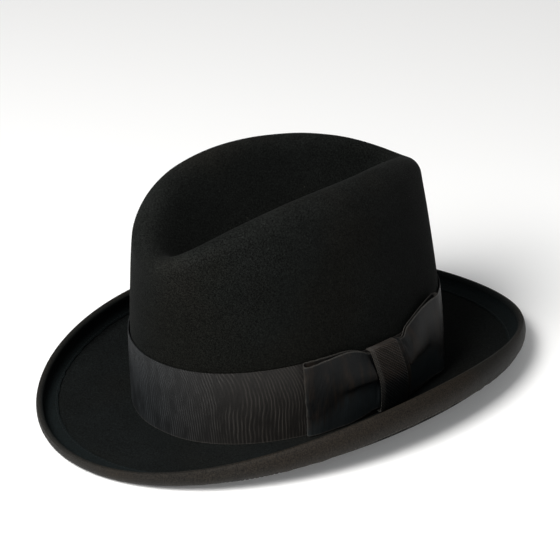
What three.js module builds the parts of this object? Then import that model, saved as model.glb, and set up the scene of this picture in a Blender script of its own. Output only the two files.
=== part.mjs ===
// Homburg hat. The crown and the curled brim are one piece of stiff felt. A ribbon band with a
// flat bow goes round the crown's foot, and a folded ribbon binds the edge of the brim.
// Units are millimetres. X points to the wearer's left, Y to the back and Z up, and the hat
// rests on the plane z = 0. Angles go round the hat from the front, over the wearer's left.

import * as THREE from 'three';

// Crown
const headLength = 206; // outside of the felt at the crown's foot, front to back
const headWidth = 168.5; // outside of the felt at the crown's foot, side to side
const headRoundness = 2.1; // 2 is an ellipse, more is squarer
const headEgg = 0.01; // how much wider the head oval is behind its middle
const crownHeight = 143.4; // table to the top of the side crests
const crownFoot = 5.7; // height at which the wall starts to lean
const crownSetBack = 1.1; // middle of the crown behind the middle of the brim
const crestTaper = 26.2; // how far each side of the crest stands in from the foot
const crestReach = 3.7; // how far the crest's front and back stand out past the foot
const crestRoundness = 1.9;
const crestEgg = -0.095; // the crest is wider ahead of its middle
const wallCurve = 2.25; // power with which the wall leans in as it rises
const crestRoll = 9.2; // radius of the soft edge along the side crests

// Dent along the crown
const dentDepth = 45; // side crests down to the dent's floor
const dentFloorLength = 0.6; // length of the floor as a share of the crest's length
const dentFloorSlope = 0.05; // rise of the floor towards the back

// Brim
const brimLength = 337; // over the binding, front to back
const brimWidth = 256.8; // over the binding, side to side
const brimRoundness = 2.05;
const brimEgg = -0.03; // the brim is wider ahead of its middle
const sideLift = 10; // how far the brim's sides stand above its front and back
const curlInside = 7.4; // radius inside the curl at the sides, from binding to binding
const pressedIn = 0.3; // how far the cloth is pressed flat where the hat rests

// Felt and ribbon
const feltThickness = 1.6;
const ribbonThickness = 1;
const seatGap = 0.3; // clearance between one piece and the next
const bindingWidth = 16; // ribbon that shows on each side of the brim's edge
const bandHeight = 46.7;
const bandDip = 0.085; // how far the knot draws the band's upper edge down, as a share of its height

// Bow, with lengths along the band measured from the middle of the knot
const bowAngle = 89.9; // degrees round the crown to the top of the knot
const frontLoopReach = 53.2;
const rearLoopReach = 60.3;
const loopStart = 1.5; // where each loop starts under the knot
const loopOpening = 3; // clear opening inside a loop's folded end
const layerGap = 0.4; // clear gap between a loop's layers under the knot
const pleatHeight = 3; // how far the pleat stands out beside the knot
const pleatLength = 26; // length beside the knot in which the pleat fades out
const frontGather = 17; // length beside the knot in which the front loop widens to its full height
const rearGather = 36; // and the same for the rear loop
const knotWidth = 18.6;
const knotLean = 4; // how far the knot's foot stands behind its top
const underwrapStep = 4; // how far the lower turn shows behind the knot

// Crest heights as shares of crownHeight, and roll radii as shares of crestRoll
const crestSections = [
  { place: 'front', height: 0.803, roll: 0.89 },
  { place: 'front quarter', height: 0.93, roll: 0.92 },
  { place: 'side', height: 1, roll: 1 },
  { place: 'back quarter', height: 0.934, roll: 1.08 },
  { place: 'back', height: 0.843, roll: 1.11 },
];

// Heights of the felt's underside at the crown's foot and of the binding's underside where the
// curl starts, as shares of sideLift. Curl radii as shares of curlInside. Turns in degrees.
const brimSections = [
  { place: 'front', foot: 0.02, flat: 0, curl: 0.26, turn: 117 },
  { place: 'side', foot: 0.62, flat: 1, curl: 1, turn: 156 },
  { place: 'back', foot: 0.33, flat: 0, curl: 0.39, turn: 116 },
];

// Edges of the bow's loops, as shares of bandHeight above the band's lower edge
const loopEdges = [
  { place: 'knot', lower: 0.085, upper: 0.885 },
  { place: 'front end', lower: 0.03, upper: 1.02 },
  { place: 'rear end', lower: 0.08, upper: 1.135 },
];
const [knotEdges, frontEndEdges, rearEndEdges] = loopEdges;

// How finely the faces are divided
const columns = 56;
const bindingSteps = 5;
const wallSteps = 6;
const rollSteps = 4;
const bandSteps = 3;
const footSteps = 3;
const brimShares = [0.12, 0.25, 0.55, 1];
const dentShares = [0.9, 0.77, 0.63, 0.48, 0.33, 0.19, 0.08];
const loopRows = 6;
const loopSteps = 5;
const foldSteps = 4;
const wrapSteps = 4;
const edgeSteps = 4;

// What the ribbon adds on one face of the felt, and the whole thickness of the bound edge
const bindingBuild = ribbonThickness + seatGap;
const curlBuild = feltThickness + 2 * bindingBuild;

const radians = THREE.MathUtils.degToRad;
const mix = THREE.MathUtils.lerp;
const clamp = THREE.MathUtils.clamp;
const stations = (count) => Array.from({ length: count + 1 }, (unused, index) => index / count);
const angles = Array.from({ length: columns }, (unused, index) => (2 * Math.PI * index) / columns);

// A value that runs smoothly through a table's rows, which stand at equal angles from the
// front, over the side, to the back.
function roundTheHat(rows, column, angle) {
  const spans = rows.length - 1;
  const weight = (index) => (index === 0 || index === spans ? 0.5 : 1);
  let value = 0;
  for (let wave = 0; wave <= spans; wave += 1) {
    let strength = 0;
    rows.forEach((row, index) => {
      strength += weight(index) * row[column] * Math.cos((Math.PI * wave * index) / spans);
    });
    value += (2 / spans) * weight(wave) * strength * Math.cos(wave * angle);
  }
  return value;
}

// Where an angle falls on a unit oval: how far ahead of the middle and how far to the side.
function unitOval(angle, roundness) {
  const bend = (value) => Math.sign(value) * Math.abs(value) ** (2 / roundness);
  return { ahead: bend(Math.cos(angle)), aside: bend(Math.sin(angle)) };
}

// A point of an oval in plan, with its outward direction.
function ovalPoint(unit, halfLength, halfWidth, egg, middle) {
  const out = new THREE.Vector3(unit.aside * halfLength, -unit.ahead * halfWidth, 0).normalize();
  return {
    x: halfWidth * unit.aside * (1 - egg * unit.ahead),
    y: middle - halfLength * unit.ahead,
    out,
  };
}

// Crown
const crestHeight = (angle) => crownHeight * roundTheHat(crestSections, 'height', angle);
const rollRadius = (angle) => crestRoll * roundTheHat(crestSections, 'roll', angle);

// A point of the crown's outer wall at a height, moved out by a stand-off.
function wallPoint(angle, height, standOff) {
  const climb = clamp((height - crownFoot) / (crestHeight(angle) - crownFoot), 0, 1) ** wallCurve;
  const foot = unitOval(angle, headRoundness);
  const crest = unitOval(angle, crestRoundness);
  const unit = {
    ahead: mix(foot.ahead, crest.ahead, climb),
    aside: mix(foot.aside, crest.aside, climb),
  };
  const halfLength = headLength / 2 + crestReach * climb + standOff;
  const halfWidth = headWidth / 2 - crestTaper * climb + standOff;
  return ovalPoint(unit, halfLength, halfWidth, mix(headEgg, crestEgg, climb), crownSetBack);
}

// Brim
const footUnderside = (angle) => {
  return Math.max(0, sideLift * roundTheHat(brimSections, 'foot', angle) - pressedIn);
};
const footTop = (angle) => footUnderside(angle) + feltThickness;
const curlRadius = (angle) => curlInside * roundTheHat(brimSections, 'curl', angle) + curlBuild;

// The brim's section at an angle: the foot, the centre of the curl, and where the curl turns.
function brimSection(angle) {
  const frontRadius = curlRadius(0);
  const backRadius = curlRadius(Math.PI);
  const halfLength = (brimLength - frontRadius - backRadius) / 2;
  const halfWidth = brimWidth / 2 - curlRadius(Math.PI / 2);
  const unit = unitOval(angle, brimRoundness);
  const plan = ovalPoint(unit, halfLength, halfWidth, brimEgg, (frontRadius - backRadius) / 2);
  const flat = sideLift * roundTheHat(brimSections, 'flat', angle) - pressedIn;
  const radius = curlRadius(angle);
  const centre = new THREE.Vector3(plan.x, plan.y, flat + radius);
  const footPlan = wallPoint(angle, footTop(angle), 0);
  const foot = new THREE.Vector3(footPlan.x, footPlan.y, footUnderside(angle));
  const feltLevel = flat + bindingBuild;
  const run = Math.hypot(centre.x - foot.x, centre.y - foot.y);
  const turn = radians(roundTheHat(brimSections, 'turn', angle));
  return {
    foot,
    centre,
    out: plan.out,
    radius,
    turnStart: Math.atan2(feltLevel - foot.z, run),
    turnEnd: turn - bindingBuild / radius,
  };
}

// A point on a circle about the curl's centre, turned up from straight below.
function curlPoint(section, turn, radius) {
  const point = section.centre.clone();
  point.addScaledVector(section.out, radius * Math.sin(turn));
  point.z -= radius * Math.cos(turn);
  return point;
}

// A point of the brim, a distance in from the felt's edge and a lift off its face. The face is 1
// for the underside and outside of the curl, and -1 for the top and inside of the curl.
function brimPoint(angle, distance, face, lift) {
  const section = brimSection(angle);
  const feltOutside = section.radius - bindingBuild;
  const faceRadius = face > 0 ? feltOutside : feltOutside - feltThickness;
  const curlLength = (section.turnEnd - section.turnStart) * faceRadius;
  if (distance <= curlLength) {
    return curlPoint(section, section.turnEnd - distance / faceRadius, faceRadius + face * lift);
  }
  const start = curlPoint(section, section.turnStart, feltOutside);
  const share = (distance - curlLength) / start.distanceTo(section.foot);
  const point = start.lerp(section.foot, Math.min(share, 1));
  point.z += face > 0 ? -lift : feltThickness + lift;
  return point;
}

// The whole length of the brim's face, from the felt's edge to the crown's foot.
function brimFaceLength(angle, face) {
  const section = brimSection(angle);
  const feltOutside = section.radius - bindingBuild;
  const faceRadius = face > 0 ? feltOutside : feltOutside - feltThickness;
  const start = curlPoint(section, section.turnStart, feltOutside);
  return (section.turnEnd - section.turnStart) * faceRadius + start.distanceTo(section.foot);
}

// Nothing reaches below the table.
function rested(point) {
  point.z = Math.max(0, point.z);
  return point;
}

// Meshes

// A closed body from rings of points. With two end points it closes on them, and without them
// its last ring joins the first. Each four-sided face is cut along its shorter diagonal, so
// that two faces which lie along each other bend the same way.
function ringBody(rings, endPoints) {
  const positions = [];
  const faces = [];
  const count = rings[0].length;
  const points = rings.flat();
  points.forEach((point) => positions.push(point.x, point.y, point.z));
  const index = (ring, column) => (ring % rings.length) * count + (column % count);
  const lastRing = endPoints ? rings.length - 1 : rings.length;
  for (let ring = 0; ring < lastRing; ring += 1) {
    for (let column = 0; column < count; column += 1) {
      const low = index(ring, column);
      const lowNext = index(ring, column + 1);
      const high = index(ring + 1, column);
      const highNext = index(ring + 1, column + 1);
      const rising = points[low].distanceTo(points[highNext]);
      const falling = points[lowNext].distanceTo(points[high]);
      if (rising < falling) {
        faces.push(low, lowNext, highNext, low, highNext, high);
      } else {
        faces.push(low, lowNext, high, lowNext, highNext, high);
      }
    }
  }
  if (endPoints) {
    const first = rings.length * count;
    endPoints.forEach((point) => positions.push(point.x, point.y, point.z));
    for (let column = 0; column < count; column += 1) {
      faces.push(first, index(0, column + 1), index(0, column));
      faces.push(first + 1, index(lastRing, column), index(lastRing, column + 1));
    }
  }
  return indexedGeometry(positions, faces);
}

function indexedGeometry(positions, faces) {
  const geometry = new THREE.BufferGeometry();
  geometry.setAttribute('position', new THREE.Float32BufferAttribute(positions, 3));
  geometry.setIndex(faces);
  geometry.computeVertexNormals();
  return geometry;
}

// A closed strip of ribbon between two sheets of points, each a list of lines that run along the
// ribbon. Left and right are as seen along the ribbon, with the first line of a sheet lowest.
function stripBody(left, right) {
  const lines = left.length;
  const length = left[0].length;
  const outline = [];
  for (let step = 0; step < length; step += 1) {
    const ring = [];
    for (let line = 0; line < lines; line += 1) {
      ring.push(right[line][step]);
    }
    for (let line = lines - 1; line >= 0; line -= 1) {
      ring.push(left[line][step]);
    }
    outline.push(ring);
  }
  const positions = [];
  const faces = [];
  const count = 2 * lines;
  outline.flat().forEach((point) => positions.push(point.x, point.y, point.z));
  const index = (ring, column) => ring * count + (column % count);
  for (let ring = 0; ring < length - 1; ring += 1) {
    for (let column = 0; column < count; column += 1) {
      const here = index(ring, column);
      const beside = index(ring, column + 1);
      const ahead = index(ring + 1, column);
      const across = index(ring + 1, column + 1);
      faces.push(here, across, beside, here, ahead, across);
    }
  }
  for (let line = 0; line < lines - 1; line += 1) {
    const partner = count - 1 - line;
    const first = (column) => index(0, column);
    const last = (column) => index(length - 1, column);
    faces.push(first(line), first(line + 1), first(partner - 1));
    faces.push(first(line), first(partner - 1), first(partner));
    faces.push(last(line), last(partner - 1), last(line + 1));
    faces.push(last(line), last(partner), last(partner - 1));
  }
  return indexedGeometry(positions, faces);
}

// A flat line of points moved to its left, with its corners kept square.
function besideLine(line, distance) {
  return line.map((point, index) => {
    const before = line[Math.max(index - 1, 0)];
    const after = line[Math.min(index + 1, line.length - 1)];
    const arriving = point.clone().sub(index > 0 ? before : point);
    const leaving = after.clone().sub(index < line.length - 1 ? point : after);
    const first = (arriving.length() > 0 ? arriving : leaving).clone().normalize();
    const second = (leaving.length() > 0 ? leaving : arriving).clone().normalize();
    const along = first.clone().add(second).normalize();
    const reach = distance / along.dot(first);
    return new THREE.Vector2(point.x - along.y * reach, point.y + along.x * reach);
  });
}

// Rings moved into the felt along their own normals.
function insideRings(rings, topPoint, distance) {
  return rings.map((ring, row) => {
    const below = rings[Math.max(row - 1, 0)];
    const above = row < rings.length - 1 ? rings[row + 1] : null;
    return ring.map((point, column) => {
      const next = ring[(column + 1) % ring.length];
      const previous = ring[(column + ring.length - 1) % ring.length];
      const higher = above ? above[column] : topPoint;
      const round = next.clone().sub(previous);
      const up = higher.clone().sub(below[column]);
      return point.clone().addScaledVector(round.cross(up).normalize(), -distance);
    });
  });
}

// Felt crown and brim

// The rings of the crown's outside, from its foot over the crest and down into the dent.
function crownRings() {
  const rings = [];
  stations(wallSteps).forEach((share) => {
    rings.push(angles.map((angle) => {
      const height = mix(footTop(angle), crestHeight(angle) - rollRadius(angle), share);
      const plan = wallPoint(angle, height, 0);
      return new THREE.Vector3(plan.x, plan.y, height);
    }));
  });
  stations(rollSteps).slice(1).forEach((share) => {
    rings.push(angles.map((angle) => crestPoint(angle, (share * Math.PI) / 2)));
  });
  dentShares.forEach((share) => {
    rings.push(angles.map((angle) => dentPoint(angle, share)));
  });
  return rings;
}

// A point of the crest's rolled edge, turned in from the wall.
function crestPoint(angle, turn) {
  const radius = rollRadius(angle);
  const height = crestHeight(angle) - radius * (1 - Math.sin(turn));
  const plan = wallPoint(angle, height, 0);
  const point = new THREE.Vector3(plan.x, plan.y, height);
  return point.addScaledVector(plan.out, -radius * (1 - Math.cos(turn)));
}

const dentFloor = (y) => crownHeight - dentDepth + dentFloorSlope * (y - crownSetBack);

// A point of the dent. The share is 1 on the crest and 0 on the line of the floor.
function dentPoint(angle, share) {
  const crest = crestPoint(angle, Math.PI / 2);
  const lengthShare = mix(dentFloorLength, 1, share);
  const y = crownSetBack + (crest.y - crownSetBack) * lengthShare;
  const drop = (1 - Math.cos(Math.PI * (1 - share))) / 2;
  return new THREE.Vector3(crest.x * share, y, mix(crest.z, dentFloor(y), drop));
}

// The rings of one face of the brim, from the felt's edge to the crown's foot.
function brimRings(face) {
  const bound = stations(bindingSteps).map((share) => () => share * bindingWidth);
  const free = brimShares.map((share) => (angle) => {
    return mix(bindingWidth, brimFaceLength(angle, face), share);
  });
  return [...bound, ...free].map((distance) => {
    return angles.map((angle) => rested(brimPoint(angle, distance(angle), face, 0)));
  });
}

// The rings of the rounded edge inside the crown's foot.
function footRings() {
  return stations(footSteps).slice(1, -1).map((share) => angles.map((angle) => {
    const turn = (share * Math.PI) / 2;
    const height = footTop(angle);
    const plan = wallPoint(angle, height, 0);
    const point = new THREE.Vector3(plan.x, plan.y, height);
    point.addScaledVector(plan.out, -feltThickness * Math.sin(turn));
    point.z -= feltThickness * Math.cos(turn);
    return point;
  }));
}

function feltBody() {
  const crown = crownRings();
  const top = new THREE.Vector3(0, crownSetBack, dentFloor(crownSetBack));
  const under = top.clone();
  under.z -= feltThickness;
  const lining = insideRings(crown, top, feltThickness);
  const inside = [...brimRings(1), ...footRings(), ...lining].reverse();
  const outside = [...brimRings(-1).slice(0, -1), ...crown];
  return ringBody([...inside, ...outside], [under, top]);
}

// Binding folded over the brim's edge
function bindingBody() {
  const distances = stations(bindingSteps).map((share) => share * bindingWidth);
  const face = (side, lift) => distances.map((distance) => {
    return angles.map((angle) => rested(brimPoint(angle, distance, side, lift)));
  });
  const halfBuild = curlBuild / 2;
  const edge = stations(edgeSteps).map((share) => angles.map((angle) => {
    const section = brimSection(angle);
    const centreRadius = section.radius - halfBuild;
    const turn = Math.PI * (0.5 - share);
    const start = bindingBuild - halfBuild;
    const along = start + halfBuild * Math.cos(turn);
    return edgePoint(section, centreRadius + halfBuild * Math.sin(turn), along);
  }));
  const cavity = [-1, 1].map((side) => angles.map((angle) => {
    const section = brimSection(angle);
    const centreRadius = section.radius - halfBuild;
    return edgePoint(section, centreRadius + side * (feltThickness / 2 + seatGap), seatGap);
  }));
  return ringBody([
    ...face(1, bindingBuild).slice(1).reverse(),
    ...edge,
    ...face(-1, bindingBuild).slice(1),
    ...face(-1, seatGap).slice(1).reverse(),
    ...cavity,
    ...face(1, seatGap).slice(1),
  ]);
}

// A point past the felt's edge, straight on from the end of the curl.
function edgePoint(section, radius, along) {
  const point = curlPoint(section, section.turnEnd, radius);
  point.addScaledVector(section.out, along * Math.cos(section.turnEnd));
  point.z += along * Math.sin(section.turnEnd);
  return point;
}

// Ribbon band round the crown
const bandFoot = (angle) => footTop(angle) + seatGap;

// Where the knot's turns of ribbon stop holding each loop
const frontHeld = knotWidth / 2 + seatGap;
const rearHeld = frontHeld + knotLean + underwrapStep;

// Height of the band, which is drawn in under the knot.
function bandTop(angle) {
  const along = (angle - radians(bowAngle)) * (headLength / 2);
  const past = along > 0 ? along - rearHeld : -along - frontHeld;
  const drawn = 1 - THREE.MathUtils.smoothstep(past, 0, frontGather);
  return bandHeight * (1 - bandDip * drawn);
}

function bandBody() {
  const face = (standOff) => stations(bandSteps).map((share) => angles.map((angle) => {
    const height = bandFoot(angle) + share * bandTop(angle);
    const plan = wallPoint(angle, height, standOff);
    return new THREE.Vector3(plan.x, plan.y, height);
  }));
  return ringBody([...face(seatGap + ribbonThickness), ...face(seatGap).reverse()]);
}

// Bow

// A point over the band: along it from the knot, up from its lower edge, and out from its face.
function bowPoint(along, up, out) {
  const angle = radians(bowAngle) + along / (headLength / 2);
  const height = bandFoot(angle) + up;
  const plan = wallPoint(angle, height, seatGap + ribbonThickness + out);
  return new THREE.Vector3(plan.x, plan.y, height);
}

const innerLayer = seatGap + ribbonThickness / 2;
const outerLayer = innerLayer + ribbonThickness + layerGap;
const loopFace = outerLayer + ribbonThickness / 2;
const knotLower = bandHeight * knotEdges.lower;
const knotUpper = bandHeight * knotEdges.upper;

// How far the pleat stands out at a share of the loop's height.
const pleat = (share) => pleatHeight * Math.sin(Math.PI * clamp(share, 0, 1));

// The line of a loop's ribbon at one height: out along the band, round the fold and back. The
// knot holds the loop's layers together up to the held length.
function loopLine(reach, held, heightShare) {
  const foldRadius = (loopOpening + ribbonThickness) / 2;
  const tip = reach - foldRadius - ribbonThickness / 2;
  const straight = [loopStart, ...stations(loopSteps).map((share) => mix(held, tip, share))];
  const line = straight.map((along) => new THREE.Vector2(along, innerLayer));
  stations(foldSteps).slice(1, -1).forEach((share) => {
    const turn = Math.PI * (share - 0.5);
    const out = innerLayer + foldRadius * (1 + Math.sin(turn));
    line.push(new THREE.Vector2(tip + foldRadius * Math.cos(turn), out));
  });
  straight.reverse().forEach((along) => {
    const spread = THREE.MathUtils.smoothstep(along, held, tip);
    const fade = 1 - THREE.MathUtils.smoothstep(along, held, held + pleatLength);
    const out = mix(outerLayer, innerLayer + 2 * foldRadius, spread) + fade * pleat(heightShare);
    line.push(new THREE.Vector2(along, out));
  });
  return line;
}

// A loop of the bow. The side is -1 for the loop ahead of the knot and 1 for the one behind it.
// It widens at once beside the knot, and less further on.
function loopBody(side, reach, held, gather, endEdges) {
  const sheet = (face) => stations(loopRows).map((heightShare) => {
    const line = besideLine(loopLine(reach, held, heightShare), (face * ribbonThickness) / 2);
    return line.map((point) => {
      const share = 1 - (1 - clamp((point.x - held) / gather, 0, 1)) ** 2;
      const lower = mix(knotEdges.lower, endEdges.lower, share);
      const upper = mix(knotEdges.upper, endEdges.upper, share);
      return bowPoint(side * point.x, bandHeight * mix(lower, upper, heightShare), point.y);
    });
  });
  return side > 0 ? stripBody(sheet(-1), sheet(1)) : stripBody(sheet(1), sheet(-1));
}

// A turn of ribbon over the middle of the bow. The clearance is how far its inner face stands
// off the loops, and the shift is how far it lies behind the knot.
function wrapBody(clearance, shift) {
  const off = clearance + ribbonThickness / 2;
  const lower = knotLower - off;
  const upper = knotUpper + off;
  const face = loopFace + off;
  const section = [new THREE.Vector2(seatGap, lower), new THREE.Vector2(face, lower)];
  stations(loopRows).slice(1, -1).forEach((share) => {
    section.push(new THREE.Vector2(face + pleat(share), mix(knotLower, knotUpper, share)));
  });
  section.push(new THREE.Vector2(face, upper), new THREE.Vector2(seatGap, upper));
  const sheet = (side) => stations(wrapSteps).map((widthShare) => {
    return besideLine(section, (side * ribbonThickness) / 2).map((point) => {
      const climb = clamp((point.y - lower) / (upper - lower), 0, 1);
      const lean = knotLean * (1 - climb * climb);
      return bowPoint(shift + lean + (widthShare - 0.5) * knotWidth, point.y, point.x);
    });
  });
  return stripBody(sheet(-1), sheet(1));
}

const knotClearance = 2 * seatGap + ribbonThickness;

// Materials
const finish = (color, roughness) => new THREE.MeshStandardMaterial({ color, roughness, metalness: 0 });
const blackFelt = finish(0x1b1d1f, 0.95);
const greyRibbon = finish(0x4d4c4b, 0.6);
const darkRibbon = finish(0x2f2d2c, 0.7);
const brownRibbon = finish(0x453f3a, 0.75);

const pieces = [
  ['felt_body', feltBody(), blackFelt],
  ['brim_binding', bindingBody(), brownRibbon],
  ['hat_band', bandBody(), greyRibbon],
  ['bow_front_loop', loopBody(-1, frontLoopReach, frontHeld, frontGather, frontEndEdges), darkRibbon],
  ['bow_rear_loop', loopBody(1, rearLoopReach, rearHeld, rearGather, rearEndEdges), darkRibbon],
  ['bow_underwrap', wrapBody(seatGap, underwrapStep), darkRibbon],
  ['bow_knot', wrapBody(knotClearance, 0), darkRibbon],
];

const hat = new THREE.Group();
pieces.forEach(([name, geometry, material]) => {
  const mesh = new THREE.Mesh(geometry, material.clone());
  mesh.name = name;
  hat.add(mesh);
});

export default hat;
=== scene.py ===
"""Homburg hat. The finished felt, binding, band and bow, made round the packed hat.

Lengths are metres. X points to the wearer's left, Y to the back and Z up, and the hat rests on the
plane z = 0. Angles go round the hat from the front, over the wearer's left.
"""

import math

import bpy
import numpy as np
from mathutils import Matrix, Vector, noise


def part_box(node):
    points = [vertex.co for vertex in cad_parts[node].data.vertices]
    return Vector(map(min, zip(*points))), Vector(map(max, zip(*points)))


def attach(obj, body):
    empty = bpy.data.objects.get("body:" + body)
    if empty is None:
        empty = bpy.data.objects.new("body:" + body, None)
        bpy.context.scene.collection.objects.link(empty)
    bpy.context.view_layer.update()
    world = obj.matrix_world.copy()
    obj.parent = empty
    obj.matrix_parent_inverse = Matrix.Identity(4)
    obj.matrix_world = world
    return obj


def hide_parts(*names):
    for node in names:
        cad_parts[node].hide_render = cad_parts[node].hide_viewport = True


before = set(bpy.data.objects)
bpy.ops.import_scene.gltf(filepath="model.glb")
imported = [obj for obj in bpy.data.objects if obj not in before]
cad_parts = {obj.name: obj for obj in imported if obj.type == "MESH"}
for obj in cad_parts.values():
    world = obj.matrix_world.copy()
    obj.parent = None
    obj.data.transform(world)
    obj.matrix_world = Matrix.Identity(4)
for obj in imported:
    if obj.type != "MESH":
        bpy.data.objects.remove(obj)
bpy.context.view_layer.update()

bl_info = {
    "name": "Homburg Hat",
    "version": (1, 0, 0),
    "blender": (4, 5, 0),
    "location": "3D View > Sidebar > Hat",
    "description": "Makes the felt, the bound brim, the ribbon band and the flat bow of a homburg",
    "category": "Mesh",
}

TURN = 2 * math.pi
BODY = "root"
felt_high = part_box("felt_body")[1]
rim_low, rim_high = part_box("brim_binding")

# Round the hat, at equal angles from its front, over the side, to its back. Crest heights are
# shares of the crown's height, and roll radii are shares of the crest's roll.
CREST = {
    "height": (0.803, 0.93, 1, 0.934, 0.843),
    "roll": (0.89, 0.92, 1, 1.08, 1.11),
}
# Front, side and back. Heights are shares of the side lift, curls are shares of the curl's
# radius, and turns are degrees.
BRIM = {
    "foot": (0.02, 0.62, 0.33),
    "flat": (0, 1, 0),
    "curl": (0.26, 1, 0.39),
    "turn": (117, 156, 116),
}
# How far the highest point of the felt's solid stands above the crown's height
CREST_SWELL = 0.00005
# Roundness of the ovals in plan, where 2 is an ellipse, and how much each narrows to the front
ROUNDNESS = {"foot": 2.1, "crest": 1.9, "brim": 2.05}
NARROWING = {"foot": 0.01, "crest": -0.095, "brim": -0.03}
# How late the wall leans in on its way up, as a power
WALL_CURVE = 2.25
# The dent's floor: its length as a share of the crest's, and its rise towards the back
DENT_LENGTH = 0.6
DENT_SLOPE = 0.05
# Where the binding's colour turns from its outside to its painted shade inside, in metres across
# it
BINDING_EDGE = (0.017, 0.023)
# Lower and upper edges of the bow, as shares of the band's height
KNOT_EDGES = (0.085, 0.885)
FRONT_END_EDGES = (0.03, 1.02)
REAR_END_EDGES = (0.08, 1.135)
# A pleat's section from the loop's lower edge to its upper one. Heights are shares of the loop's
# height, and the other numbers are shares of the pleat's height.
PLEAT = {
    "height": (0, 0.2, 0.36, 0.45, 0.478, 0.488, 0.505, 0.54, 0.62, 0.76, 0.9, 1),
    "out": (0, -0.02, -0.06, -0.02, 0.30, 0.66, 0.90, 1, 0.97, 0.72, 0.3, 0),
}
# The knot's section in the same way
KNOT_BEND = {
    "height": (0, 0.12, 0.3, 0.42, 0.49, 0.56, 0.7, 0.85, 1),
    "out": (0, 0.42, 0.84, 0.98, 1, 0.9, 0.62, 0.3, 0),
}
# How far the pleat's section arches up beside the knot, as a share of the loop's height
PLEAT_ARCH = 0.055
# How far a loop bulges under the knot and beside it, and how deep its slack and its fraying are
HELD_BULGE = 0.0026
LOOP_BELLY = 0.0018
LOOP_SLACK = 0.00035
FRAYED_EDGE = 0.00018
# How far the middle of the knot's ribbon stands out over its edges
KNOT_BELLY = 0.0004
# Points along each layer of a loop, round its fold, and along each side of the knot
LAYER_POINTS = 60
FOLD_POINTS = 13
SIDE_POINTS = 30
# Place, size and tint of each lamp, and the point that all of them shine at
LAMPS = {
    "key": ((0.18, -1.28, 1.36), 1.0, (1.0, 0.99, 0.97)),
    "window": ((-1.25, -1.05, 0.42), 0.7, (0.5, 0.78, 1.0)),
    "fill": ((1.1, 0.05, 0.55), 0.7, (0.9, 0.97, 1.0)),
}
LAMP_AIM = (0, 0, 0.06)
# Where the light from all round is strongest
SKY_DIRECTION = (-0.35, -0.9, 0.2)
# The point before the camera, its small turns off that point in degrees, and its lens
CAMERA_AIM = (0, 0.0011, 0.0657)
CAMERA_TURNS = (0.086, -0.035, -2.533)
FOCAL_PIXELS = 3184.724
PHOTO_PIXELS = 560
SENSOR_WIDTH = 36


# Settings

def length(name, description, default):
    """A length in metres, as a property."""
    return bpy.props.FloatProperty(
        name=name, description=description, default=default, min=0, precision=4, unit="LENGTH")


def share(name, description, default):
    """A plain number, as a property."""
    return bpy.props.FloatProperty(
        name=name, description=description, default=default, precision=3)


def colour(name, description, default):
    """A colour, as a property."""
    return bpy.props.FloatVectorProperty(
        name=name, description=description, default=default, min=0, max=1, subtype="COLOR")


class HatShape(bpy.types.PropertyGroup):
    """Sizes of the crown and the brim."""
    head_length: length(
        "Head length", "Outside of the felt at the crown's foot, front to back", 0.206)
    head_width: length(
        "Head width", "Outside of the felt at the crown's foot, side to side", 0.1685)
    crown_height: length(
        "Crown height", "Table to the top of the side crests", felt_high.z - CREST_SWELL)
    crown_foot: length("Crown foot", "Height at which the wall starts to lean", 0.0057)
    crown_set_back: length("Crown set back", "Middle of the crown behind that of the brim", 0.0011)
    crest_taper: length(
        "Crest taper", "How far each side of the crest stands in from the foot", 0.0262)
    crest_reach: length("Crest reach", "How far the crest's ends stand out past the foot", 0.0037)
    crest_roll: length("Crest roll", "Radius of the soft edge along the side crests", 0.0092)
    dent_depth: length("Dent depth", "Side crests down to the floor of the dent", 0.045)
    brim_length: length("Brim length", "Over the binding, front to back", rim_high.y - rim_low.y)
    brim_width: length("Brim width", "Over the binding, side to side", rim_high.x - rim_low.x)
    side_lift: length(
        "Side lift", "How far the brim's sides stand above its front and back", 0.010)
    curl_inside: length("Curl radius", "Radius inside the curl at the sides", 0.0074)
    pressed_in: length(
        "Pressed in", "How far the cloth is pressed flat where the hat rests", 0.0003)
    felt_thickness: length("Felt thickness", "Thickness of the felt", 0.0016)
    unevenness: length("Unevenness", "How far the hand-shaped felt wanders from its form", 0.00035)


class HatRibbon(bpy.types.PropertyGroup):
    """Sizes of the band, the binding and the stitches."""
    ribbon_build: length("Ribbon build", "Felt's face to the ribbon's outer face", 0.0013)
    ribbon_thickness: length("Ribbon thickness", "Thickness of the ribbon", 0.0005)
    leg_end_build: length(
        "Leg end build", "Felt's face to the binding's face at its sewn edges", 0.0008)
    band_gap: length("Band gap", "Brim to the band's lower edge", 0.0003)
    band_height: length("Band height", "Height of the band", 0.0467)
    band_dip: share("Band dip", "How far the knot draws the band's top down, of its height", 0.085)
    binding_inner: length("Inner leg", "Width of the binding on the brim's upper side", 0.016)
    binding_outer: length("Outer leg", "Width of the binding under the brim", 0.0148)
    pucker: length("Pucker", "Height of the small waves along the binding's sewn edges", 0.00022)
    stitch_length: length("Stitch length", "Length of one stitch", 0.0021)
    stitch_pitch: length("Stitch pitch", "From one stitch to the next", 0.0029)
    stitch_thickness: length("Stitch thickness", "Thickness of the sewing thread", 0.00045)
    stitch_inset: length("Stitch inset", "From the binding's sewn edge to its stitches", 0.0013)
    rib_pitch: length("Rib pitch", "From one rib of the ribbons to the next", 0.0008)
    knot_rib_pitch: length("Knot rib pitch", "From one rib of the knot to the next", 0.0021)
    watering_pitch: length("Watering pitch", "From one watered streak to the next", 0.0019)


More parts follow.
